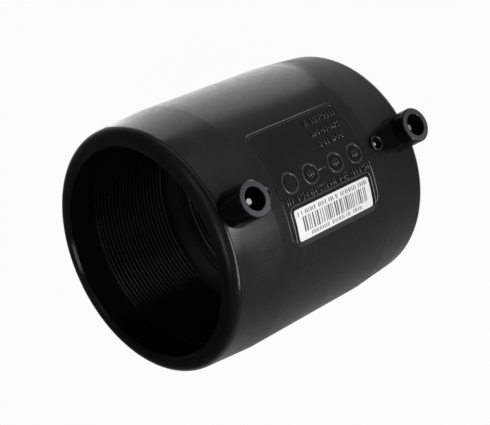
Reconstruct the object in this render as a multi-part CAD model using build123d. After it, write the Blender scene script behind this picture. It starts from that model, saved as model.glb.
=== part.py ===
from build123d import *

import os
from math import cos, radians, sin, tan

# Electrofusion coupler for 110 mm polyethylene pipe. Millimetres.
# The sleeve stands on its lower mouth at Z = 0 with its axis on +Z, and the terminals face -Y.

# Sleeve, a tube with its wall thinned towards both mouths
sleeve_length = 149.0
wall_thickness = 11.9
taper_length = 33.8
taper_thinning = 2.4  # radial loss of wall at the mouth
mouth_round = 6.0
bore_diameter = 110.8
lead_in_depth = 6.8
lead_in_gain = 0.4  # radial widening of the bore over the lead-in
mouth_chamfer = 1.2
relief_width = 9.0  # shallow band half way down the bore
relief_depth = 0.55

# Wire wound in two zones that are flush with the bore, one for each pipe end
winding_length = 48.0
winding_gap = 18.2  # cold stretch between the two zones
winding_depth = 1.4
wire_cover = 0.35  # least wall between a buried run of wire and the bore
wire_width = 1.6
wire_height = 1.2
wire_overrun = 1.8  # how far an end of the wire passes its terminal

# Terminal shrouds, for a 4 mm terminal
terminal_inset = 13.8  # from a mouth to the terminal's axis
shroud_height = 14.9  # from the sleeve to the shroud's face
shroud_diameter = 18.6
shroud_draft = 1.2  # degrees
shroud_edge = 0.8
well_diameter = 11.8
well_depth = 12.0
well_edge = 0.3
pin_diameter = 4.0
pin_height = 7.0
pin_edge = 0.5
shank_diameter = 4.8
collar_diameter = 7.0
collar_height = 1.6
collar_depth = 4.0  # from the floor of the well to the top of the collar

# Fusion indicators and the webs that join them to the shrouds
indicator_spacing = 18.2  # from a terminal's axis to its indicator's
boss_diameter = 7.7
boss_height = 1.4
indicator_well_diameter = 6.2
indicator_well_depth = 3.6
indicator_diameter = 2.0
indicator_setback = 1.6  # tip below the lip of its boss
indicator_tip_round = 0.4
indicator_foot_diameter = 3.4
indicator_foot_height = 1.2
web_rise = 5.6  # height that the web gains between the boss and the shroud

# Marking panel, a bead that frames four rings and the label's recess
panel_length = 67.4
panel_angle = 52.4  # degrees round the sleeve
panel_corner = 5.7
bead_width = 0.9
bead_height = 0.35
ring_diameter = 11.0
ring_spacing_inner = 18.9
ring_spacing_outer = 15.0
ring_centre_height = 73.6
disc_diameter = 7.0
disc_height = 0.2
label_angle = -18.2  # degrees round from the terminals
label_length = 56.5
label_width = 16.0
label_corner = 1.5
label_thickness = 0.15
recess_depth = 0.25
recess_clearance = 1.6
seam_depth = 1.0  # how far raised marks are rooted in the wall

# Lengths that follow from the ones above
bore_radius = bore_diameter / 2
sleeve_radius = bore_radius + wall_thickness
mid_height = sleeve_length / 2
root_reach = (bore_radius + sleeve_radius) / 2  # middle of the wall, where raised pieces are rooted
shroud_reach = sleeve_radius + shroud_height
boss_reach = sleeve_radius + boss_height
well_floor = shroud_reach - well_depth
wire_inner = bore_radius + relief_depth + wire_cover
wire_outer = wire_inner + wire_height
winding_start = mid_height - winding_gap / 2 - winding_length
indicator_height = terminal_inset + indicator_spacing
indicator_floor = boss_reach - indicator_well_depth
panel_width = 2 * sleeve_radius * sin(radians(panel_angle / 2))


def facing(angle, height):
    """Plane on the sleeve's axis that looks outward, at an angle round from the terminals."""
    turn = radians(angle)
    return Plane((0, 0, height), (cos(turn), sin(turn), 0), (sin(turn), -cos(turn), 0))


def shell(inner, outer):
    """Tube about the sleeve's axis, as long as the sleeve."""
    ring = Circle(outer) - Circle(inner)
    return extrude(ring, sleeve_length)


def both_ends(lower):
    """A piece at the lower end together with its mirror image at the upper end."""
    return lower, mirror(lower, about=Plane.XY.offset(mid_height))


def radial_turning(points, height):
    """Solid turned about a radial axis through the terminals' plane, from (radius, reach) points."""
    outline = Plane.YZ * make_face(Polyline(*[(-reach, radius) for radius, reach in points], close=True))
    return Pos(0, 0, height) * revolve(outline, Axis.Y)


def wrapped(sketch, angle, height, inner, outer):
    """A flat sketch laid round the sleeve at an angle, between two radii."""
    prism = extrude(facing(angle, height) * sketch, 2 * sleeve_radius)
    return prism & shell(inner, outer)


def sleeve():
    mouth_radius = sleeve_radius - taper_thinning
    lead_radius = bore_radius + lead_in_gain
    lip_radius = lead_radius + mouth_chamfer
    relief_radius = bore_radius + relief_depth
    relief_start = mid_height - relief_width / 2
    lower_half = [
        (relief_radius, relief_start),
        (bore_radius, relief_start),
        (bore_radius, lead_in_depth),
        (lead_radius, mouth_chamfer),
        (lip_radius, 0),
        (mouth_radius, 0),
        (sleeve_radius, taper_length),
    ]
    upper_half = [(radius, sleeve_length - height) for radius, height in reversed(lower_half)]
    section = make_face(Polyline(*lower_half, *upper_half, close=True))
    lips = [vertex for vertex in section.vertices() if abs(vertex.X - mouth_radius) < 1e-6]
    section = fillet(lips, min(mouth_round, 0.9 * (mouth_radius - lip_radius)))
    return revolve(Plane.XZ * section, Axis.Z)


def shroud():
    """Drafted post of the lower terminal, solid until its well is cut."""
    face_radius = shroud_diameter / 2
    root_radius = face_radius + (shroud_reach - root_reach) * tan(radians(shroud_draft))
    outline = [
        (0, root_reach),
        (root_radius, root_reach),
        (face_radius, shroud_reach - shroud_edge),
        (face_radius - shroud_edge, shroud_reach),
        (0, shroud_reach),
    ]
    return radial_turning(outline, terminal_inset)


def boss_and_web():
    """Indicator boss and the web that climbs from it to the shroud, on one tapering outline."""
    boss = Pos(0, indicator_spacing) * Circle(boss_diameter / 2)
    outline = make_face(make_hull([*Circle(shroud_diameter / 2).edges(), *boss.edges()]))
    block = extrude(facing(0, terminal_inset).offset(root_reach) * outline, shroud_reach - root_reach)
    web_start = indicator_height - boss_diameter / 2
    slope = [
        (-root_reach, 0),
        (-root_reach, indicator_height + boss_diameter),
        (-boss_reach, indicator_height + boss_diameter),
        (-boss_reach, web_start),
        (-boss_reach - web_rise, terminal_inset + shroud_diameter / 2),
        (-boss_reach - web_rise, 0),
    ]
    profile = Plane.YZ * make_face(Polyline(*slope, close=True))
    return block & extrude(profile, shroud_diameter, both=True)


def terminal_well():
    lip_radius = well_diameter / 2 + well_edge
    outline = [
        (0, well_floor),
        (well_diameter / 2, well_floor),
        (well_diameter / 2, shroud_reach - well_edge),
        (lip_radius, shroud_reach),
        (lip_radius, shroud_reach + well_edge),
        (0, shroud_reach + well_edge),
    ]
    return radial_turning(outline, terminal_inset)


def indicator_well():
    outline = [
        (0, indicator_floor),
        (indicator_well_diameter / 2, indicator_floor),
        (indicator_well_diameter / 2, boss_reach + web_rise),
        (0, boss_reach + web_rise),
    ]
    return radial_turning(outline, indicator_height)


def terminal_pin():
    """Turned pin: a bare tip above the well's floor, then a shank and a collar held in the wall."""
    tip = well_floor + pin_height
    collar_top = well_floor - collar_depth
    outline = [
        (0, wire_outer),
        (shank_diameter / 2, wire_outer),
        (shank_diameter / 2, collar_top - collar_height),
        (collar_diameter / 2, collar_top - collar_height),
        (collar_diameter / 2, collar_top),
        (shank_diameter / 2, collar_top),
        (shank_diameter / 2, well_floor),
        (pin_diameter / 2, well_floor),
        (pin_diameter / 2, tip - pin_edge),
        (pin_diameter / 2 - pin_edge, tip),
        (0, tip),
    ]
    return radial_turning(outline, terminal_inset)


def fusion_indicator():
    """Small pin on a buried foot, which melt pressure lifts once the joint is made."""
    tip = boss_reach - indicator_setback
    outline = [
        (0, indicator_floor - indicator_foot_height),
        (indicator_foot_diameter / 2, indicator_floor - indicator_foot_height),
        (indicator_foot_diameter / 2, indicator_floor),
        (indicator_diameter / 2, indicator_floor),
        (indicator_diameter / 2, tip - indicator_tip_round),
        (indicator_diameter / 2 - indicator_tip_round, tip),
        (0, tip),
    ]
    return radial_turning(outline, indicator_height)


def heating_coil():
    """Both wound zones, the buried link between them and the two ends that run under the pins."""
    zone = Circle(bore_radius + winding_depth) - Circle(bore_radius)
    lower_zone = extrude(Plane.XY.offset(winding_start) * zone, winding_length)
    run_start = terminal_inset - wire_overrun
    run_length = sleeve_length - 2 * run_start
    run = Box(wire_width, wire_height, run_length, align=(Align.CENTER, Align.MAX, Align.MIN))
    coil = Pos(0, -wire_inner, run_start) * run
    for wound in both_ends(lower_zone):
        coil += wound
    return coil


def frame_bead():
    outer = RectangleRounded(panel_width, panel_length, panel_corner)
    inner = RectangleRounded(panel_width - 2 * bead_width, panel_length - 2 * bead_width, panel_corner - bead_width)
    return wrapped(outer - inner, 0, mid_height, sleeve_radius - seam_depth, sleeve_radius + bead_height)


def ring_heights():
    inner = ring_spacing_inner / 2
    outer = inner + ring_spacing_outer
    return [ring_centre_height + step for step in (-outer, -inner, inner, outer)]


def rings():
    """Four raised rings in line with the terminals, each with a low disc inside."""
    root = sleeve_radius - seam_depth
    ring = Circle(ring_diameter / 2) - Circle(ring_diameter / 2 - bead_width)
    marks = []
    for height in ring_heights():
        marks.append(wrapped(ring, 0, height, root, sleeve_radius + bead_height))
        marks.append(wrapped(Circle(disc_diameter / 2), 0, height, root, sleeve_radius + disc_height))
    return marks


def label_recess():
    outline = RectangleRounded(
        label_width + 2 * recess_clearance,
        label_length + 2 * recess_clearance,
        label_corner + recess_clearance,
    )
    floor = sleeve_radius - recess_depth
    return wrapped(outline, label_angle, mid_height, floor, sleeve_radius + bead_height)


def barcode_label():
    outline = RectangleRounded(label_width, label_length, label_corner)
    floor = sleeve_radius - recess_depth
    return wrapped(outline, label_angle, mid_height, floor, floor + label_thickness)


def coupler_body(inserts):
    """The moulding, with cavities that match everything moulded into it."""
    body = sleeve()
    body += frame_bead()
    body += rings()
    for post in both_ends(shroud() + boss_and_web()):
        body += post
    cuts = [label_recess(), *both_ends(terminal_well()), *both_ends(indicator_well())]
    for cut in cuts:
        body -= cut
    for insert in inserts:
        body -= insert
    return body


coil = heating_coil()
pin_lower, pin_upper = both_ends(terminal_pin())
indicator_lower, indicator_upper = both_ends(fusion_indicator())

pieces = {
    "coupler_body": coupler_body([coil, pin_lower, pin_upper, indicator_lower, indicator_upper]),
    "heating_coil": coil,
    "terminal_pin_lower": pin_lower,
    "terminal_pin_upper": pin_upper,
    "fusion_indicator_lower": indicator_lower,
    "fusion_indicator_upper": indicator_upper,
    "barcode_label": barcode_label(),
}

os.makedirs("parts", exist_ok=True)
for name, piece in pieces.items():
    export_step(piece, f"parts/{name}.step")
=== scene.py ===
import math
import random

import bmesh
import bpy
from bpy.props import FloatProperty, FloatVectorProperty, IntProperty, PointerProperty
from bpy.types import Operator, Panel, PropertyGroup
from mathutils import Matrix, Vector


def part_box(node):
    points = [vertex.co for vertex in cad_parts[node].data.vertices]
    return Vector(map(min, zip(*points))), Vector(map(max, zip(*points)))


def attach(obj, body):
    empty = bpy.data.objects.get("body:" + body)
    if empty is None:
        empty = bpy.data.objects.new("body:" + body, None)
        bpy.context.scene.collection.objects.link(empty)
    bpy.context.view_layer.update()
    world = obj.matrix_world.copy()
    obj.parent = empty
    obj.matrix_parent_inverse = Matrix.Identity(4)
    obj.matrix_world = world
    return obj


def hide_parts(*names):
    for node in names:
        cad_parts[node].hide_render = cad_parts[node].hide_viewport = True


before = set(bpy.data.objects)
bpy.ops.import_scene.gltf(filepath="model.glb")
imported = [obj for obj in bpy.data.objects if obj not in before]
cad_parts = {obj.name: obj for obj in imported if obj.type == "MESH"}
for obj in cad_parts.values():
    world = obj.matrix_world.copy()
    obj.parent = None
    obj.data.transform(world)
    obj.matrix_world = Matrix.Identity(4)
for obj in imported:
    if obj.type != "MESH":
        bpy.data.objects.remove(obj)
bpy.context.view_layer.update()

bl_info = {
    "name": "Electrofusion coupler",
    "version": (1, 0, 0),
    "blender": (4, 5, 0),
    "location": "View3D > Sidebar > Coupler",
    "description": "Finishes, windings, label and raised marks for an electrofusion pipe coupler",
    "category": "Add Mesh",
}

MM = 0.001
SLEEVE_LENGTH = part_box("coupler_body")[1].z
SLEEVE_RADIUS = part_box("coupler_body")[1].x
MID_HEIGHT = SLEEVE_LENGTH / 2
BORE_RADIUS = 0.0554
WINDING_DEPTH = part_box("heating_coil")[1].x - BORE_RADIUS
WINDING_START = 0.0174
WINDING_LENGTH = 0.048
LABEL_FACE = SLEEVE_RADIUS - 0.0001
LABEL_ANGLE = -18.2
LABEL_HALF_LENGTH = 0.02825
LABEL_HALF_WIDTH = 0.008
RING_HEIGHTS = (0.04915, 0.06415, 0.08305, 0.09805)
RING_RADIUS = 0.00505
STROKES = {
    "post": [((0.5, 0.0), (0.5, 1.0))],
    "posts": [((0.1, 0.0), (0.1, 1.0)), ((0.9, 0.0), (0.9, 1.0))],
    "rungs": [((0.0, 0.08), (1.0, 0.08)), ((0.0, 0.5), (1.0, 0.5)), ((0.0, 0.92), (1.0, 0.92))],
    "stagger": [((0.1, 0.0), (0.1, 0.45)), ((0.9, 0.55), (0.9, 1.0)), ((0.1, 0.62), (0.1, 1.0))],
    "post_and_dash": [((0.1, 0.0), (0.1, 1.0)), ((0.55, 0.5), (1.1, 0.5))],
}
INDICATOR_HEIGHT = 0.032
BOSS_RIM = 0.0035
BOSS_REACH = 0.0687
PANEL_HALF_WIDTH = 0.02927
PANEL_HALF_LENGTH = 0.03325
OVERLAP = 0.02 * MM
SAME_POINT = 0.02 * MM

WINDING_COLUMNS = 180
WINDING_ROWS_PER_TURN = 10
CREST_SHARPNESS = 2.8

# Rows of raised strokes, in degrees and millimetres: angle, first height, last height, letter height
MARK_ROWS = (
    (-7.3, 42.0, 104.0, 4.1),
    (21.0, 43.5, 68.5, 3.6),
    (15.2, 46.5, 68.0, 3.4),
    (9.8, 49.0, 66.5, 3.4),
)
LETTER_WIDTH = 1.9
LETTER_PITCH = 2.8
WORD_GAP = 1.6
RING_STROKES = ((-1.7, 1.7), (0.0, 2.4), (1.7, 1.7))
LINK_HALF_LENGTH = 4.3 * MM

# Label print, in millimetres: bars, then lines of dashes as offset, height and half length
BAR_MARGIN = 4.0 * MM
BAR_LENGTH = 7.6 * MM
BAR_OFFSET = -0.2
BAR_WIDTHS = (0.55, 0.55, 1.0)
BAR_GAPS = (0.7, 0.7, 1.25)
DASH_LINES = ((5.6, 2.2, 26.0), (-5.9, 2.0, 19.0))
DASH_LENGTHS = (0.6, 0.9, 0.9, 1.2)
DASH_GAP = 0.35 * MM
DASH_FILL = 0.55
DASH_SKIPPED = 0.1
INK_CREST = 0.03 * MM

# Zones of the moulding: where each ramp starts and where it is full
POST_SIDE = (11.2 * MM, 10.6 * MM)
POST_PROUD = (SLEEVE_RADIUS + 0.45 * MM, SLEEVE_RADIUS + 0.75 * MM)
POST_FACE = (81.75 * MM, 82.15 * MM)
FRONT = (0.054, 0.058)
BORE_WALL = (BORE_RADIUS + 1.9 * MM, BORE_RADIUS + 1.5 * MM)
BORE_ENDS = (MID_HEIGHT - 1.1 * MM, MID_HEIGHT - 1.3 * MM)
# A thin line of painted shade at the crease between each mouth's round and its taper
CREASE_SHADE_PLACE = MID_HEIGHT - 5.3 * MM
CREASE_SHADE_WIDTH = (0.42 * MM, 0.2 * MM)
STEP_DOWN_START = (5.1 * MM, 5.4 * MM)
STEP_DOWN_END = (30.0 * MM, 20.0 * MM)
PANEL_SIDES = (PANEL_HALF_WIDTH + 0.2 * MM, PANEL_HALF_WIDTH - 0.4 * MM)
PANEL_ENDS = (PANEL_HALF_LENGTH + 0.2 * MM, PANEL_HALF_LENGTH - 0.4 * MM)
MOUTH_ZONE = (MID_HEIGHT - 20.0 * MM, MID_HEIGHT - 8.0 * MM, 0.0, 0.45)
MOUTH_LIMIT = (MID_HEIGHT - 3.0 * MM, MID_HEIGHT - 3.8 * MM)
EDGE_RADIUS = (BORE_RADIUS + 3.0 * MM, BORE_RADIUS + 2.4 * MM)
EDGE_ENDS = (MID_HEIGHT - 3.2 * MM, MID_HEIGHT - 2.6 * MM)
# Bands of painted shade round the raised rows, in millimetres: middle, half width, lowest and highest point
ROW_SHADE_BANDS = (
    (-8.8, 2.2, 41.5, 105.0),
    (24.6, 2.0, 43.5, 69.5),
    (18.0, 1.9, 46.5, 69.0),
    (11.7, 1.9, 49.0, 67.5),
)

# Zones on one side only. They stand in for uneven light and not for the finish of the plastic
LIP_SIDE = (-0.03, 0.0)
LIP_ENDS = (MID_HEIGHT - 3.5 * MM, MID_HEIGHT - 1.5 * MM)
LIT_FACE_SIDE = (0.009, -0.009)
BORE_SHADE = (-0.022, -0.034)
LOW_END = (36.0 * MM, 30.0 * MM)
LOW_END_SIDE = (0.0, -0.02)
EDGE_BACK = (0.034, 0.046)
EDGE_SIDE = (-0.014, -0.006)
WINDING_SIDE = (-0.034, -0.006)

# Floor in metres, then its own glow: ramps of the glow seen in reflections
FLOOR_FLAT = 2.6
FLOOR_CURVE = 0.6
FLOOR_TOP = 1.9
FLOOR_BENDS = (0.3, 0.6, 0.9, 1.2, 1.57)
FLOOR_SIDES = 96
SEEN_GLOW = 0.965
GLOW_ACROSS = (-0.20, 0.06, 0.17, 0.39)
GLOW_UP = (0.3, 0.02, 0.15, 1.0)
GLOW_FAR = (0.55, 1.6, 1.0, 0.55)
# Less glow close beside the part on its -X side: painted shade seen in reflections
BESIDE_FAR = (0.11, 0.072, 0.0, 0.35)
BESIDE_ACROSS = (0.03, -0.01)
# Patches of the glow seen in reflections, painted light, and painted shade where the gain is negative: gain, then
# ramps as a direction, where it starts and where it is full
GLOW_PATCHES = (
    (0.12, (("along", -0.08, -0.13), ("along", -0.21, -0.16),
            ("across", 0.06, 0.03), ("across", -0.12, -0.06))),
    (1.1, (("along", -0.15, -0.21), ("across", 0.07, 0.13))),
    (0.28, (("far", 0.10, 0.075), ("across", 0.0, 0.03))),
    (0.14, (("along", -0.09, -0.04), ("across", -0.15, -0.21))),
    (-0.12, (("across", -0.22, -0.18), ("across", -0.10, -0.14),
             ("along", -0.26, -0.24), ("along", -0.15, -0.19))),
)

# Lamps: name, setting that holds the power, place, size, and whether it is aimed at the part or faces up
AIM = Vector((0.0, 0.0, 0.08))
LAMPS = (
    ("key_softbox", "key", (-0.40, -0.62, 1.30), (0.45, 0.45), True),
    ("fill_softbox", "fill", (0.5, -0.85, 1.0), (0.7, 0.7), True),
    ("rim_strip", "rim", (-0.26, -0.385, 0.062), (0.38, 0.12), True),
    ("low_strip", "low", (-0.115, -0.34, 0.006), (0.13, 0.13), False),
    ("side_strip", "side", (0.18, 0.055, 0.006), (0.215, 0.23), False),
)
SENSOR_WIDTH = 36.0


class CouplerWinding(PropertyGroup):
    pitch: FloatProperty(name="Pitch", description="Distance from one turn of wire to the next",
                         default=2.46 * MM, min=1.0 * MM, max=6.0 * MM, unit="LENGTH")
    groove: FloatProperty(name="Groove", description="Depth of the groove between two turns",
                          default=0.6 * MM, min=0.0, max=1.2 * MM, unit="LENGTH")
    crest: FloatProperty(name="Crest", description="How far the turns stand proud of the bore",
                         default=0.05 * MM, min=0.0, max=0.3 * MM, unit="LENGTH")


class CouplerMarks(PropertyGroup):
    height: FloatProperty(name="Height", description="How far raised marks stand off the sleeve",
                          default=0.6 * MM, min=0.05 * MM, max=0.6 * MM, unit="LENGTH")
    stroke: FloatProperty(name="Stroke", description="Width of the strokes of raised marks",
                          default=0.9 * MM, min=0.2 * MM, max=1.5 * MM, unit="LENGTH")
    seed: IntProperty(name="Seed", description="Choice of strokes in the rows and bars", default=7, min=0)


class CouplerFinish(PropertyGroup):
    resin: FloatVectorProperty(name="Polyethylene", description="Colour of the moulding",
                               default=(0.0062, 0.0062, 0.0066), min=0.0, max=1.0, size=3, subtype="COLOR")
    resin_roughness: FloatProperty(name="Moulding roughness", description="Roughness of the satin sleeve",
                                   default=0.28, min=0.0, max=1.0, subtype="FACTOR")
    gloss_roughness: FloatProperty(name="Shroud roughness", description="Roughness of the polished shrouds",
                                   default=0.14, min=0.0, max=1.0, subtype="FACTOR")
    tin: FloatVectorProperty(name="Tinned brass", description="Colour of the terminal pins",
                             default=(0.64, 0.63, 0.58), min=0.0, max=1.0, size=3, subtype="COLOR")
    indicator: FloatVectorProperty(name="Indicator", description="Colour of the fusion indicators",
                                   default=(0.42, 0.41, 0.39), min=0.0, max=1.0, size=3, subtype="COLOR")
    paper: FloatVectorProperty(name="Label stock", description="Colour of the label",
                               default=(0.82, 0.82, 0.81), min=0.0, max=1.0, size=3, subtype="COLOR")
    ink: FloatVectorProperty(name="Ink", description="Colour of the printed bars",
                             default=(0.045, 0.045, 0.05), min=0.0, max=1.0, size=3, subtype="COLOR")


class CouplerStage(PropertyGroup):
    floor: FloatVectorProperty(name="Floor", description="Colour of the floor",
                               default=(0.86, 0.86, 0.86), min=0.0, max=1.0, size=3, subtype="COLOR")
    world: FloatProperty(name="Surround", description="Strength of the light from all round",
                         default=0.06, min=0.0, max=2.0)
    key: FloatProperty(name="Key", description="Power of the main softbox",
                       default=2.0, min=0.0, unit="POWER")
    fill: FloatProperty(name="Fill", description="Power of the front softbox",
                        default=1.25, min=0.0, unit="POWER")
    low: FloatProperty(name="Low strip", description="Power of the low strip that rakes the tapers",
                       default=0.66, min=0.0, unit="POWER")
    side: FloatProperty(name="Side strip", description="Power of the low strip beside the sleeve",
                        default=0.215, min=0.0, unit="POWER")
    rim: FloatProperty(name="Rim strip", description="Power of the strip that draws a line on the mouth's round",
                       default=1.25, min=0.0, unit="POWER")
    camera_place: FloatVectorProperty(name="Camera place", description="Where the camera stands",
                                      default=(-0.007564, -0.530632, 0.523349), size=3, subtype="TRANSLATION")
    camera_turn: FloatVectorProperty(name="Camera turn", description="How the camera is turned",
                                     default=tuple(map(math.radians, (-26.653, 43.778, -126.433))),
                                     size=3, subtype="EULER")
    lens: FloatProperty(name="Lens", description="Focal length in millimetres",
                        default=94.93, min=10.0, max=400.0)


# Node helpers

class Nodes:
    """A material's or world's node tree, with short calls for the nodes used here."""

    def __init__(self, tree):
        self.tree = tree
        self.tree.nodes.clear()

    def add(self, kind, inputs=None, **settings):
        node = self.tree.nodes.new(kind)
        for key, value in settings.items():
            setattr(node, key, value)
        for key, value in (inputs or {}).items():
            if isinstance(value, bpy.types.NodeSocket):
                self.tree.links.new(value, node.inputs[key])
            else:
                node.inputs[key].default_value = value
        return node

    def maths(self, operation, first, second=0.0, third=None):
        inputs = {0: first, 1: second}
        if third is not None:
            inputs[2] = third
        return self.add("ShaderNodeMath", inputs, operation=operation).outputs[0]

    def step(self, value, low, high, out_low=0.0, out_high=1.0):
        inputs = {"Value": value, "From Min": low, "From Max": high, "To Min": out_low, "To Max": out_high}
        return self.add("ShaderNodeMapRange", inputs, interpolation_type="SMOOTHSTEP").outputs["Result"]

    def product(self, *factors):
        result = factors[0]
        for factor in factors[1:]:
            result = self.maths("MULTIPLY", result, factor)
        return result

    def inverse(self, mask):
        return self.maths("SUBTRACT", 1.0, mask)

    def apart(self, value, middle):
        return self.maths("ABSOLUTE", self.maths("SUBTRACT", value, middle))

    def distance(self, first, second):
        squares = [self.product(part, part) for part in (first, second)]
        return self.maths("SQRT", self.maths("ADD", *squares))

    def blend(self, factor, first, second):
        node = self.add("ShaderNodeMix", data_type="RGBA")
        for socket, value in ((node.inputs[0], factor), (node.inputs[6], first), (node.inputs[7], second)):
            if isinstance(value, bpy.types.NodeSocket):
                self.tree.links.new(value, socket)
            else:
                socket.default_value = value
        return node.outputs[2]

    def layers(self, base, *layers):
        """Lays each colour over the one before it, through its mask."""
        for mask, colour in layers:
            base = self.blend(mask, base, colour)
        return base

    def noise(self, place, scale, detail=2.0, roughness=0.5):
        inputs = {"Vector": place, "Scale": scale, "Detail": detail, "Roughness": roughness}
        return self.add("ShaderNodeTexNoise", inputs).outputs[0]

    def place(self):
        return self.add("ShaderNodeTexCoord").outputs["Object"]

    def axes(self, place):
        return tuple(self.add("ShaderNodeSeparateXYZ", {0: place}).outputs)


def new_material(name):
    material = bpy.data.materials.new(name)
    material.use_nodes = True
    return material, Nodes(material.node_tree)


def close_material(nodes, shader):
    nodes.add("ShaderNodeOutputMaterial", {"Surface": shader.outputs[0]})


def rgba(colour, gain=1.0):
    return tuple(min(1.0, channel * gain) for channel in colour) + (1.0,)


def grey(level):
    return (level, level, level, 1.0)


def raised_row_shade_mask(nodes, x, z):
    """Bands round the raised rows, and the inside of the rings that hold a mark: where painted shade dims the
    sleeve's reflection round the raised strokes.
    """
    rows = 0.0
    for middle, half, low, high in ROW_SHADE_BANDS:
        row = nodes.product(
            nodes.step(nodes.apart(x, middle * MM), (half + 0.5) * MM, (half - 0.3) * MM),
            nodes.step(z, low * MM, (low + 1.0) * MM),
            nodes.step(z, high * MM, (high - 1.0) * MM),
        )
        rows = nodes.maths("MAXIMUM", row, rows)
    for height in RING_HEIGHTS[:3]:
        off = nodes.distance(x, nodes.maths("SUBTRACT", z, height))
        rows = nodes.maths("MAXIMUM", rows, nodes.step(off, RING_RADIUS, RING_RADIUS - 0.5 * MM, 0.0, 0.8))
    return rows


def body_masks(nodes, place):
    """Masks from 0 to 1 of the moulding's zones, by name."""
    x, y, z = nodes.axes(place)
    from_middle = nodes.apart(z, MID_HEIGHT)
    reach = nodes.distance(x, y)
    beside = nodes.maths("ABSOLUTE", x)
    front = nodes.product(y, -1.0)
    facing = nodes.step(front, *FRONT)
    inside = nodes.product(nodes.step(reach, *BORE_WALL), nodes.step(from_middle, *BORE_ENDS))
    shade = nodes.product(inside, nodes.step(x, *BORE_SHADE))
    # Painted shade: a darker band in the bore, from about 5 mm to 20 mm either side of its middle
    step_down = nodes.product(nodes.step(from_middle, *STEP_DOWN_START),
                              nodes.step(from_middle, *STEP_DOWN_END))
    return {
        "post": nodes.product(nodes.step(beside, *POST_SIDE), nodes.step(reach, *POST_PROUD), facing),
        "post_face": nodes.step(front, *POST_FACE),
        "lit_face_side": nodes.step(x, *LIT_FACE_SIDE),
        "inside": inside,
        "painted_bore_shade": nodes.maths("MAXIMUM", shade, nodes.product(inside, step_down, 0.75)),
        "crease_shade": nodes.product(nodes.step(nodes.apart(from_middle, CREASE_SHADE_PLACE), *CREASE_SHADE_WIDTH),
                               nodes.inverse(inside)),
        "lip": nodes.product(nodes.step(from_middle, *LIP_ENDS), nodes.step(x, *LIP_SIDE)),
        "framed": nodes.product(nodes.step(beside, *PANEL_SIDES), nodes.step(from_middle, *PANEL_ENDS),
                                facing),
        "rows": nodes.product(raised_row_shade_mask(nodes, x, z), facing),
        "shaded_low_end": nodes.product(nodes.step(z, *LOW_END), nodes.step(x, *LOW_END_SIDE)),
        "handled": nodes.product(nodes.step(from_middle, *MOUTH_ZONE), nodes.step(from_middle, *MOUTH_LIMIT)),
        "edge": nodes.product(nodes.step(reach, *EDGE_RADIUS), nodes.step(from_middle, *EDGE_ENDS),
                              nodes.product(nodes.step(y, *EDGE_BACK), nodes.step(x, *EDGE_SIDE))),
    }


def satin_polyethylene(finish):
    """Black polyethylene: satin sleeve with a fine moulded grain, polished shrouds and webs."""
    material, nodes = new_material("black_polyethylene_moulded")
    place = nodes.place()
    zones = body_masks(nodes, place)
    cloud = nodes.noise(place, scale=38.0, detail=3.0)
    grain = nodes.noise(place, scale=850.0, detail=3.0, roughness=0.65)
    scuff = nodes.noise(place, scale=210.0, detail=4.0, roughness=0.62)
    colour = nodes.layers(
        nodes.blend(cloud, rgba(finish.resin, 0.75), rgba(finish.resin, 1.3)),
        # Painted light: the lip at each mouth is lighter on its +X side
        (zones["lip"], rgba(finish.resin, 2.6)),
        (zones["post"], rgba(finish.resin, 0.8)),
        # Painted light: each shroud face is lighter on its -X half
        (zones["post_face"], nodes.blend(zones["lit_face_side"], rgba(finish.resin, 8.0), rgba(finish.resin, 12.0))),
        (zones["inside"], rgba(finish.resin, 1.6)),
        # Painted shade in the bore: darker on its -X side and in the band either side of its middle
        (zones["painted_bore_shade"], rgba(finish.resin, 0.2)),
    )
    sheen = nodes.layers(
        nodes.blend(zones["framed"], grey(1.0), grey(0.72)),
        (zones["post"], grey(0.22)),
        (zones["post_face"], grey(1.0)),
        # Painted shade: the low end's reflection is dimmed on its -X side
        (zones["shaded_low_end"], grey(0.8)),
        # Painted shade round the raised rows and inside the rings
        (zones["rows"], grey(0.38)),
        (zones["inside"], grey(0.6)),
        # Painted shade: the bore's reflection is nearly taken away on its -X side and in that band
        (zones["painted_bore_shade"], grey(0.03)),
        # Painted shade: a thin dark line at the crease between each mouth's round and its taper
        (zones["crease_shade"], grey(0.05)),
    )
    satin = nodes.maths("ADD", nodes.step(scuff, 0.3, 0.7, -0.035, 0.035), finish.resin_roughness)
    polished = nodes.maths("ADD", nodes.product(nodes.inverse(zones["post"]), satin),
                           nodes.product(zones["post"], finish.gloss_roughness))
    roughness = nodes.product(
        nodes.maths("MAXIMUM", polished, nodes.product(zones["post_face"], 0.42)),
        nodes.inverse(zones["handled"]),
        nodes.inverse(nodes.product(zones["edge"], 0.6)),
    )
    bump = nodes.add("ShaderNodeBump", {"Height": grain, "Strength": 0.4, "Distance": 0.08 * MM})
    swell = nodes.add("ShaderNodeBump", {"Height": cloud, "Strength": 0.06, "Distance": 0.35 * MM,
                                         "Normal": bump.outputs[0]})
    shader = nodes.add("ShaderNodeBsdfPrincipled",
                       {"Base Color": colour, "Roughness": roughness, "Normal": swell.outputs[0],
                        "Specular Tint": sheen, "IOR": 1.46, "Specular IOR Level": 0.24})
    close_material(nodes, shader)
    return material


def raised_polyethylene(finish):
    """The moulding's polyethylene where raised marks came up glossier against the tool."""
    material, nodes = new_material("black_polyethylene_raised")
    place = nodes.place()
    cloud = nodes.noise(place, scale=600.0)
    colour = nodes.blend(cloud, rgba(finish.resin, 0.6), rgba(finish.resin, 1.2))
    shader = nodes.add("ShaderNodeBsdfPrincipled",
                       {"Base Color": colour, "Roughness": nodes.step(cloud, 0.3, 0.7, 0.14, 0.22),
                        "IOR": 1.5, "Specular IOR Level": 0.85})
    close_material(nodes, shader)
    return material


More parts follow.
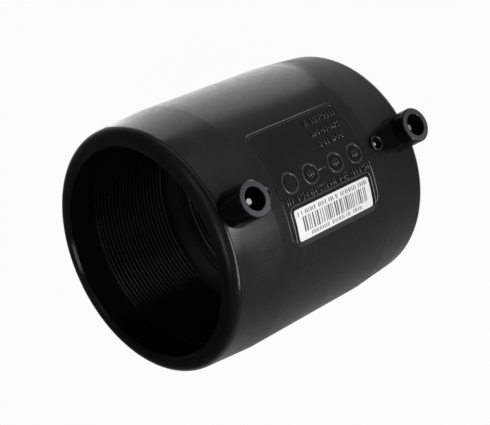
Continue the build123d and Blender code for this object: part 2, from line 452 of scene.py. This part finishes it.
def wound_polyethylene(finish):
    """Melt skin over the wound wire. Ridges towards +X are lighter and reflect with a faint warm tint, a painted
    highlight; elsewhere it barely reflects, painted shade.
    """
    material, nodes = new_material("wound_wire_skin")
    place = nodes.place()
    x, y = nodes.axes(place)[:2]
    ridge = nodes.step(nodes.distance(x, y), BORE_RADIUS + 0.3 * MM, BORE_RADIUS + 0.02 * MM)
    lit = nodes.step(x, *WINDING_SIDE)
    lit_ridge = nodes.product(ridge, lit)
    cloud = nodes.noise(place, scale=90.0, detail=3.0)
    streak = nodes.noise(place, scale=900.0)
    colour = nodes.blend(cloud, rgba(finish.resin, 0.3), rgba(finish.resin, 0.6))
    # Painted highlight on the lit ridges, painted shade on the rest: the reflection is nearly taken away there
    colour = nodes.blend(lit_ridge, colour, rgba(finish.resin, 2.4))
    sheen = nodes.blend(lit_ridge, grey(0.01), (0.95, 0.94, 0.92, 1.0))
    roughness = nodes.maths("MAXIMUM", nodes.step(streak, 0.3, 0.7, 0.22, 0.32),
                            nodes.step(lit, 0.6, 0.1, 0.0, 0.8))
    bump = nodes.add("ShaderNodeBump", {"Height": streak, "Strength": 0.12, "Distance": 0.05 * MM})
    shader = nodes.add("ShaderNodeBsdfPrincipled",
                       {"Base Color": colour, "Roughness": roughness, "Normal": bump.outputs[0],
                        "Specular Tint": sheen, "IOR": 1.46, "Specular IOR Level": 0.65})
    close_material(nodes, shader)
    return material


def tinned_metal(finish):
    """Turned and tinned pin, with fine turning lines round its axis."""
    material, nodes = new_material("tinned_brass_turned")
    place = nodes.place()
    along_pin = nodes.add("ShaderNodeCombineXYZ", {1: nodes.axes(place)[1]}).outputs[0]
    lines = nodes.noise(along_pin, scale=5200.0, detail=1.0)
    tarnish = nodes.noise(place, scale=420.0, detail=3.0)
    colour = nodes.blend(tarnish, rgba(finish.tin, 0.86), rgba(finish.tin, 1.08))
    roughness = nodes.step(tarnish, 0.3, 0.7, 0.20, 0.34)
    bump = nodes.add("ShaderNodeBump", {"Height": lines, "Strength": 0.2, "Distance": 0.03 * MM})
    shader = nodes.add("ShaderNodeBsdfPrincipled",
                       {"Base Color": colour, "Metallic": 1.0, "Roughness": roughness,
                        "Normal": bump.outputs[0]})
    close_material(nodes, shader)
    return material


def indicator_plastic(finish):
    """Pale moulded plastic of the fusion indicators."""
    material, nodes = new_material("indicator_plastic_moulded")
    place = nodes.place()
    speck = nodes.noise(place, scale=900.0)
    colour = nodes.blend(speck, rgba(finish.indicator, 0.88), rgba(finish.indicator, 1.05))
    bump = nodes.add("ShaderNodeBump", {"Height": speck, "Strength": 0.15, "Distance": 0.04 * MM})
    shader = nodes.add("ShaderNodeBsdfPrincipled",
                       {"Base Color": colour, "Roughness": nodes.step(speck, 0.3, 0.7, 0.3, 0.42),
                        "Normal": bump.outputs[0]})
    close_material(nodes, shader)
    return material


def label_stock(finish):
    """Semi-gloss white label paper with a faint fibre."""
    material, nodes = new_material("label_stock_paper")
    place = nodes.place()
    fibre = nodes.noise(place, scale=2200.0, detail=3.0, roughness=0.6)
    cloud = nodes.noise(place, scale=120.0)
    colour = nodes.blend(fibre, rgba(finish.paper, 0.94), rgba(finish.paper, 1.03))
    colour = nodes.blend(nodes.product(cloud, 0.25), colour, rgba(finish.paper, 0.9))
    bump = nodes.add("ShaderNodeBump", {"Height": fibre, "Strength": 0.12, "Distance": 0.02 * MM})
    shader = nodes.add("ShaderNodeBsdfPrincipled",
                       {"Base Color": colour, "Roughness": nodes.step(cloud, 0.3, 0.7, 0.38, 0.5),
                        "Normal": bump.outputs[0]})
    close_material(nodes, shader)
    return material


def label_ink(finish):
    """Thermal print, a little uneven."""
    material, nodes = new_material("label_print_ink")
    place = nodes.place()
    wear = nodes.noise(place, scale=1400.0, detail=3.0, roughness=0.6)
    colour = nodes.blend(wear, rgba(finish.ink, 0.7), rgba(finish.ink, 1.8))
    shader = nodes.add("ShaderNodeBsdfPrincipled",
                       {"Base Color": colour, "Roughness": nodes.step(wear, 0.3, 0.7, 0.4, 0.55)})
    close_material(nodes, shader)
    return material


# Mesh helpers

def on_sleeve(angle, height, reach):
    """Point at an angle in degrees round from the terminals, a height and a distance from the axis."""
    turn = math.radians(angle)
    return Vector((reach * math.sin(turn), -reach * math.cos(turn), height))


def raised_bar(mesh, angle, height, wide, tall, root, crest):
    """Low bar on the sleeve: wide round the sleeve, tall along it, from root to crest."""
    steps = max(1, int(wide / (2.0 * MM)))
    rings = []
    for reach in (root, crest):
        low, high = [], []
        for step in range(steps + 1):
            turn = angle + math.degrees((wide * step / steps - wide / 2) / SLEEVE_RADIUS)
            low.append(mesh.verts.new(on_sleeve(turn, height - tall / 2, reach)))
            high.append(mesh.verts.new(on_sleeve(turn, height + tall / 2, reach)))
        rings.append((low, high))
    (root_low, root_high), (top_low, top_high) = rings
    for step in range(steps):
        mesh.faces.new((top_low[step], top_low[step + 1], top_high[step + 1], top_high[step]))
        mesh.faces.new((root_low[step], root_low[step + 1], top_low[step + 1], top_low[step]))
        mesh.faces.new((root_high[step + 1], root_high[step], top_high[step], top_high[step + 1]))
        mesh.faces.new((root_low[step + 1], root_low[step], root_high[step], root_high[step + 1]))
    mesh.faces.new((root_low[0], top_low[0], top_high[0], root_high[0]))
    mesh.faces.new((top_low[-1], root_low[-1], root_high[-1], top_high[-1]))


def finish_mesh(mesh, name, material, smooth=False):
    bmesh.ops.recalc_face_normals(mesh, faces=mesh.faces)
    data = bpy.data.meshes.new(name)
    mesh.to_mesh(data)
    mesh.free()
    for face in data.polygons:
        face.use_smooth = smooth
    data.materials.append(material)
    piece = bpy.data.objects.new(name, data)
    bpy.context.scene.collection.objects.link(piece)
    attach(piece, "root")
    return piece


def dress(node, material):
    """Gives a CAD node its finished material."""
    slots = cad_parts[node].data.materials
    if not slots:
        slots.append(material)
    for index in range(len(slots)):
        slots[index] = material


def bead_path(mesh, angle, height, line, width, root, crest, closed=False):
    """Rounded bead along a flat line of (round, along) points, wrapped on the sleeve at an angle and a height."""
    count = len(line)
    sides = []
    for index in range(count):
        back = line[index - 1] if closed or index else line[0]
        ahead = line[(index + 1) % count] if closed or index < count - 1 else line[-1]
        way = Vector((ahead[0] - back[0], ahead[1] - back[1])).normalized()
        sides.append((way.y, -way.x))
    profile = [(-0.3 * MM, -0.5), (-0.3 * MM, 0.5)]
    for bearing in [math.pi * step / 6 for step in range(7)]:
        profile.append(((crest - root) * math.sin(bearing), 0.5 * math.cos(bearing)))
    rows = []
    for rise, offset in profile:
        row = []
        for index, (x, z) in enumerate(line):
            low = not closed and index in (0, count - 1)
            x, z = x + sides[index][0] * offset * width, z + sides[index][1] * offset * width
            turn = angle + math.degrees(math.asin(x / SLEEVE_RADIUS))
            row.append(mesh.verts.new(on_sleeve(turn, height + z, root + (min(rise, 0.0) if low else rise))))
        rows.append(row)
    for row in range(len(rows)):
        lower, upper = rows[row], rows[(row + 1) % len(rows)]
        for index in range(count if closed else count - 1):
            after = (index + 1) % count
            mesh.faces.new((lower[index], lower[after], upper[after], upper[index]))


def rounded_outline(half_wide, half_tall, corner):
    """Points of a rounded rectangle, close enough together to follow the sleeve."""
    corners = []
    for turn, side_x, side_z in ((0, 1, 1), (90, -1, 1), (180, -1, -1), (270, 1, -1)):
        for step in range(7):
            bearing = math.radians(turn + 15 * step)
            point = (side_x * (half_wide - corner) + corner * math.cos(bearing),
                     side_z * (half_tall - corner) + corner * math.sin(bearing))
            if not corners or math.dist(point, corners[-1]) > SAME_POINT:
                corners.append(point)
    if math.dist(corners[0], corners[-1]) < SAME_POINT:
        corners.pop()
    line = []
    for index, (x, z) in enumerate(corners):
        x2, z2 = corners[(index + 1) % len(corners)]
        parts = max(1, int(abs(x2 - x) / (2.5 * MM)))
        line += [(x + (x2 - x) * part / parts, z + (z2 - z) * part / parts) for part in range(parts)]
    return line


def circle_outline(radius):
    """Points round a circle, in order."""
    turns = [math.radians(10 * step) for step in range(36)]
    return [(radius * math.cos(turn), radius * math.sin(turn)) for turn in turns]


def stroke(mesh, angle, height, start, end, width, root, crest):
    """Short rounded bead from one (round, along) point to another, tapered at both ends."""
    first, last = Vector(start), Vector(end)
    inset = (last - first).normalized() * width * 0.3
    line = [first, first + inset, first + (last - first) / 2, last - inset, last]
    bead_path(mesh, angle, height, [tuple(point) for point in line], width, root, crest)


class COUPLER_OT_finish_body(Operator):
    """Give the moulding its satin black polyethylene, glossier on the shrouds and webs"""
    bl_idname = "coupler.finish_body"
    bl_label = "Finish moulding"

    def execute(self, context):
        dress("coupler_body", satin_polyethylene(context.scene.coupler_finish))
        return {"FINISHED"}


class COUPLER_OT_make_windings(Operator):
    """Make the two wound zones of the bore, with a left-handed ridge over each turn of wire"""
    bl_idname = "coupler.make_windings"
    bl_label = "Make windings"

    def execute(self, context):
        winding = context.scene.coupler_winding
        material = wound_polyethylene(context.scene.coupler_finish)
        for name, start in (("winding_lower", WINDING_START),
                            ("winding_upper", SLEEVE_LENGTH - WINDING_START - WINDING_LENGTH)):
            mesh = bmesh.new()
            grid = self.make_grid(mesh, winding, start)
            for row, lower in enumerate(grid):
                upper = grid[(row + 1) % len(grid)]
                for column in range(WINDING_COLUMNS):
                    after = (column + 1) % WINDING_COLUMNS
                    mesh.faces.new((lower[column], upper[column], upper[after], lower[after]))
            piece = finish_mesh(mesh, name, material, smooth=True)
            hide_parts("heating_coil")
        return {"FINISHED"}

    def make_grid(self, mesh, winding, start):
        """Rings of vertices from end to end, with one more at each end that lies behind the skin."""
        grid = []
        rows = int(round(WINDING_LENGTH / winding.pitch * WINDING_ROWS_PER_TURN))
        back = BORE_RADIUS + WINDING_DEPTH - OVERLAP
        for row in range(-1, rows + 2):
            share = min(max(row / rows, 0.0), 1.0)
            height = start + WINDING_LENGTH * share
            edge = min(1.0, min(share, 1.0 - share) * WINDING_LENGTH / winding.pitch)
            ring = []
            for column in range(WINDING_COLUMNS):
                turn = 2 * math.pi * column / WINDING_COLUMNS
                climb = height - start + winding.pitch * turn / (2 * math.pi)
                wave = abs(math.sin(math.pi * climb / winding.pitch))
                hollow = winding.groove * (1.0 - wave ** CREST_SHARPNESS) - winding.crest * wave
                reach = back if row < 0 or row > rows else BORE_RADIUS + edge * hollow
                ring.append(mesh.verts.new((reach * math.cos(turn), reach * math.sin(turn), height)))
            grid.append(ring)
        return grid


class COUPLER_OT_finish_terminals(Operator):
    """Give both terminal pins their turned and tinned finish"""
    bl_idname = "coupler.finish_terminals"
    bl_label = "Finish terminal pins"

    def execute(self, context):
        material = tinned_metal(context.scene.coupler_finish)
        for node in ("terminal_pin_lower", "terminal_pin_upper"):
            dress(node, material)
        return {"FINISHED"}


class COUPLER_OT_finish_indicators(Operator):
    """Give both fusion indicators their pale moulded plastic"""
    bl_idname = "coupler.finish_indicators"
    bl_label = "Finish fusion indicators"

    def execute(self, context):
        material = indicator_plastic(context.scene.coupler_finish)
        for node in ("fusion_indicator_lower", "fusion_indicator_upper"):
            dress(node, material)
        return {"FINISHED"}


class COUPLER_OT_make_label(Operator):
    """Finish the label's paper and lay plain bars and dashes on it"""
    bl_idname = "coupler.make_label"
    bl_label = "Make label"

    def execute(self, context):
        finish = context.scene.coupler_finish
        dress("barcode_label", label_stock(finish))
        chooser = random.Random(context.scene.coupler_marks.seed)
        mesh = bmesh.new()
        root, crest = LABEL_FACE - OVERLAP, LABEL_FACE + INK_CREST
        per_mm = math.degrees(1.0 * MM / SLEEVE_RADIUS)
        bar_angle = LABEL_ANGLE + BAR_OFFSET * per_mm
        height = MID_HEIGHT - LABEL_HALF_LENGTH + BAR_MARGIN
        while height < MID_HEIGHT + LABEL_HALF_LENGTH - BAR_MARGIN:
            wide = chooser.choice(BAR_WIDTHS) * MM
            raised_bar(mesh, bar_angle, height + wide / 2, BAR_LENGTH, wide, root, crest)
            height += wide + chooser.choice(BAR_GAPS) * MM
        for offset, tall, spread in DASH_LINES:
            angle = LABEL_ANGLE + offset * per_mm
            height = MID_HEIGHT - spread * MM
            while height < MID_HEIGHT + spread * MM:
                long = chooser.choice(DASH_LENGTHS) * MM
                if chooser.random() > DASH_SKIPPED:
                    raised_bar(mesh, angle, height, tall * MM, long * DASH_FILL, root, crest)
                height += long + DASH_GAP
        finish_mesh(mesh, "label_print", label_ink(finish))
        return {"FINISHED"}


class COUPLER_OT_make_raised_marks(Operator):
    """Make the rows of raised strokes, the marks in the rings and the beads round the label's recess"""
    bl_idname = "coupler.make_raised_marks"
    bl_label = "Make raised marks"

    def execute(self, context):
        marks = context.scene.coupler_marks
        material = raised_polyethylene(context.scene.coupler_finish)
        self.make_rows(marks, material)
        self.make_beads(material)
        return {"FINISHED"}

    def make_rows(self, marks, material):
        chooser = random.Random(marks.seed)
        mesh = bmesh.new()
        root, crest = SLEEVE_RADIUS, SLEEVE_RADIUS + marks.height
        for angle, start, end, tall in MARK_ROWS:
            at, left_in_word = start, 0
            while at < end:
                if left_in_word == 0:
                    left_in_word = chooser.randint(3, 7)
                    at += WORD_GAP
                left_in_word -= 1
                for (u1, v1), (u2, v2) in STROKES[chooser.choice(tuple(STROKES))]:
                    low = ((v1 - 0.5) * tall * MM, u1 * LETTER_WIDTH * MM)
                    high = ((v2 - 0.5) * tall * MM, u2 * LETTER_WIDTH * MM)
                    stroke(mesh, angle, at * MM, low, high, marks.stroke, root, crest)
                at += LETTER_PITCH
        for height in RING_HEIGHTS[:3]:
            for along, half in RING_STROKES:
                low, high = (-half * MM, along * MM), (half * MM, along * MM)
                stroke(mesh, 0.0, height, low, high, marks.stroke, root, crest)
        middle = (RING_HEIGHTS[1] + RING_HEIGHTS[2]) / 2
        low, high = (0.0, -LINK_HALF_LENGTH), (0.0, LINK_HALF_LENGTH)
        stroke(mesh, 0.0, middle, low, high, marks.stroke, root, crest)
        finish_mesh(mesh, "raised_marks", material, smooth=True)

    def make_beads(self, material):
        mesh = bmesh.new()
        root, crest = SLEEVE_RADIUS, SLEEVE_RADIUS + 0.4 * MM
        border = rounded_outline(LABEL_HALF_WIDTH + 2.2 * MM, LABEL_HALF_LENGTH + 2.2 * MM, 3.4 * MM)
        bead_path(mesh, LABEL_ANGLE, MID_HEIGHT, border, 1.1 * MM, root, crest - 0.05 * MM, closed=True)
        frame_line = rounded_outline(PANEL_HALF_WIDTH, PANEL_HALF_LENGTH, 5.3 * MM)
        bead_path(mesh, 0.0, MID_HEIGHT, frame_line, 1.6 * MM, root, crest - 0.12 * MM, closed=True)
        ring = circle_outline(RING_RADIUS)
        for height in RING_HEIGHTS:
            bead_path(mesh, 0.0, height, ring, 1.4 * MM, root, crest, closed=True)
        rim = circle_outline(BOSS_RIM)
        rim_root, rim_crest = BOSS_REACH - 0.05 * MM, BOSS_REACH + 0.25 * MM
        for height in (INDICATOR_HEIGHT, SLEEVE_LENGTH - INDICATOR_HEIGHT):
            bead_path(mesh, 0.0, height, rim, 0.7 * MM, rim_root, rim_crest, closed=True)
        finish_mesh(mesh, "rounded_beads", material, smooth=True)


class COUPLER_OT_make_stage(Operator):
    """Lay the floor, hang the soft lights and set the camera"""
    bl_idname = "coupler.make_stage"
    bl_label = "Make stage"

    def execute(self, context):
        stage = context.scene.coupler_stage
        self.lay_floor(context, stage)
        self.light_surround(context, stage)
        self.hang_lights(context, stage)
        self.set_camera(context, stage)
        context.scene.view_settings.view_transform = "Standard"
        return {"FINISHED"}

    def lay_floor(self, context, stage):
        mesh = bmesh.new()
        outline = [(FLOOR_FLAT, 0.0)]
        for bow in FLOOR_BENDS:
            outline.append((FLOOR_FLAT + FLOOR_CURVE * math.sin(bow),
                            FLOOR_CURVE - FLOOR_CURVE * math.cos(bow)))
        outline.append((FLOOR_FLAT + FLOOR_CURVE, FLOOR_TOP))
        bearings = [2 * math.pi * side / FLOOR_SIDES for side in range(FLOOR_SIDES)]
        centre = mesh.verts.new((0.0, 0.0, 0.0))
        before = None
        for reach, height in outline:
            ring = []
            for turn in bearings:
                ring.append(mesh.verts.new((reach * math.cos(turn), reach * math.sin(turn), height)))
            for side in range(FLOOR_SIDES):
                after = (side + 1) % FLOOR_SIDES
                if before is None:
                    mesh.faces.new((centre, ring[side], ring[after]))
                else:
                    mesh.faces.new((before[side], ring[side], ring[after], before[after]))
            before = ring
        data = bpy.data.meshes.new("studio_floor")
        mesh.to_mesh(data)
        mesh.free()
        for face in data.polygons:
            face.use_smooth = True
        material, nodes = new_material("floor_paint")
        place = nodes.place()
        mottle = nodes.noise(place, scale=7.0)
        colour = nodes.blend(mottle, rgba(stage.floor, 0.985), rgba(stage.floor, 1.015))
        paint = nodes.add("ShaderNodeBsdfDiffuse", {"Color": colour})
        glow = nodes.add("ShaderNodeEmission", {"Color": grey(1.0), "Strength": 1.0})
        mixed = nodes.add("ShaderNodeMixShader",
                          {0: self.glow_share(nodes, place), 1: paint.outputs[0], 2: glow.outputs[0]})
        close_material(nodes, mixed)
        data.materials.append(material)
        floor = bpy.data.objects.new("studio_floor", data)
        context.scene.collection.objects.link(floor)

    def glow_share(self, nodes, place):
        """Share of the floor that glows by itself: nearly all where it is seen, less in reflections."""
        across, along, up = nodes.axes(place)
        far = nodes.add("ShaderNodeVectorMath", {0: place}, operation="LENGTH").outputs["Value"]
        ways = {"across": across, "along": along, "far": far}
        glow = nodes.step(across, *GLOW_ACROSS)
        for gain, ramps in GLOW_PATCHES:
            patch = nodes.product(*(nodes.step(ways[way], start, full) for way, start, full in ramps))
            glow = nodes.maths("ADD", glow, nodes.product(patch, gain))
        # Painted shade seen in reflections: less glow close beside the part
        beside = nodes.product(nodes.step(far, *BESIDE_FAR), nodes.step(across, *BESIDE_ACROSS))
        light_path = nodes.add("ShaderNodeLightPath").outputs
        mirrored = nodes.product(glow, nodes.step(up, *GLOW_UP), nodes.inverse(beside),
                                 nodes.step(far, *GLOW_FAR), light_path["Is Glossy Ray"])
        seen = nodes.maths("MAXIMUM", light_path["Is Camera Ray"], light_path["Is Transmission Ray"])
        return nodes.maths("MAXIMUM", nodes.product(seen, SEEN_GLOW), mirrored)

    def light_surround(self, context, stage):
        world = bpy.data.worlds.new("studio_surround")
        context.scene.world = world
        world.use_nodes = True
        nodes = Nodes(world.node_tree)
        surround = nodes.add("ShaderNodeBackground", {"Color": grey(1.0), "Strength": stage.world})
        nodes.add("ShaderNodeOutputWorld", {"Surface": surround.outputs[0]})

    def hang_lights(self, context, stage):
        for name, setting, place, size, aimed in LAMPS:
            light = bpy.data.lights.new(name, "AREA")
            light.energy = getattr(stage, setting)
            light.shape = "RECTANGLE"
            light.size, light.size_y = size
            lamp = bpy.data.objects.new(name, light)
            lamp.location = place
            if aimed:
                lamp.rotation_euler = (AIM - Vector(place)).to_track_quat("-Z", "Y").to_euler()
            else:
                lamp.rotation_euler = (math.pi, 0.0, 0.0)
            lamp.visible_camera = False
            context.scene.collection.objects.link(lamp)

    def set_camera(self, context, stage):
        data = bpy.data.cameras.new("catalogue_camera")
        data.lens = stage.lens
        data.sensor_width = SENSOR_WIDTH
        data.clip_start, data.clip_end = 0.01, 50.0
        camera = bpy.data.objects.new("catalogue_camera", data)
        camera.location = stage.camera_place
        camera.rotation_euler = stage.camera_turn
        context.scene.collection.objects.link(camera)
        context.scene.camera = camera


STEPS = (
    COUPLER_OT_make_stage,
    COUPLER_OT_finish_body,
    COUPLER_OT_make_windings,
    COUPLER_OT_finish_terminals,
    COUPLER_OT_finish_indicators,
    COUPLER_OT_make_label,
    COUPLER_OT_make_raised_marks,
)
SETTINGS = (
    ("coupler_winding", CouplerWinding),
    ("coupler_marks", CouplerMarks),
    ("coupler_finish", CouplerFinish),
    ("coupler_stage", CouplerStage),
)


class COUPLER_PT_sidebar(Panel):
    """Lists the coupler's steps and their settings"""
    bl_idname = "COUPLER_PT_sidebar"
    bl_label = "Electrofusion coupler"
    bl_space_type = "VIEW_3D"
    bl_region_type = "UI"
    bl_category = "Coupler"

    def draw(self, context):
        layout = self.layout
        for step in STEPS:
            layout.operator(step.bl_idname)
        for name, group in SETTINGS:
            box = layout.box()
            for setting in group.__annotations__:
                box.prop(getattr(context.scene, name), setting)


def register():
    for name, group in SETTINGS:
        bpy.utils.register_class(group)
        setattr(bpy.types.Scene, name, PointerProperty(type=group))
    for step in STEPS:
        bpy.utils.register_class(step)
    bpy.utils.register_class(COUPLER_PT_sidebar)


def unregister():
    bpy.utils.unregister_class(COUPLER_PT_sidebar)
    for step in reversed(STEPS):
        bpy.utils.unregister_class(step)
    for name, group in reversed(SETTINGS):
        delattr(bpy.types.Scene, name)
        bpy.utils.unregister_class(group)


def main():
    register()
    bpy.ops.coupler.make_stage()
    bpy.ops.coupler.finish_body()
    bpy.ops.coupler.make_windings()
    bpy.ops.coupler.finish_terminals()
    bpy.ops.coupler.finish_indicators()
    bpy.ops.coupler.make_label()
    bpy.ops.coupler.make_raised_marks()


if __name__ == "__main__":
    main()
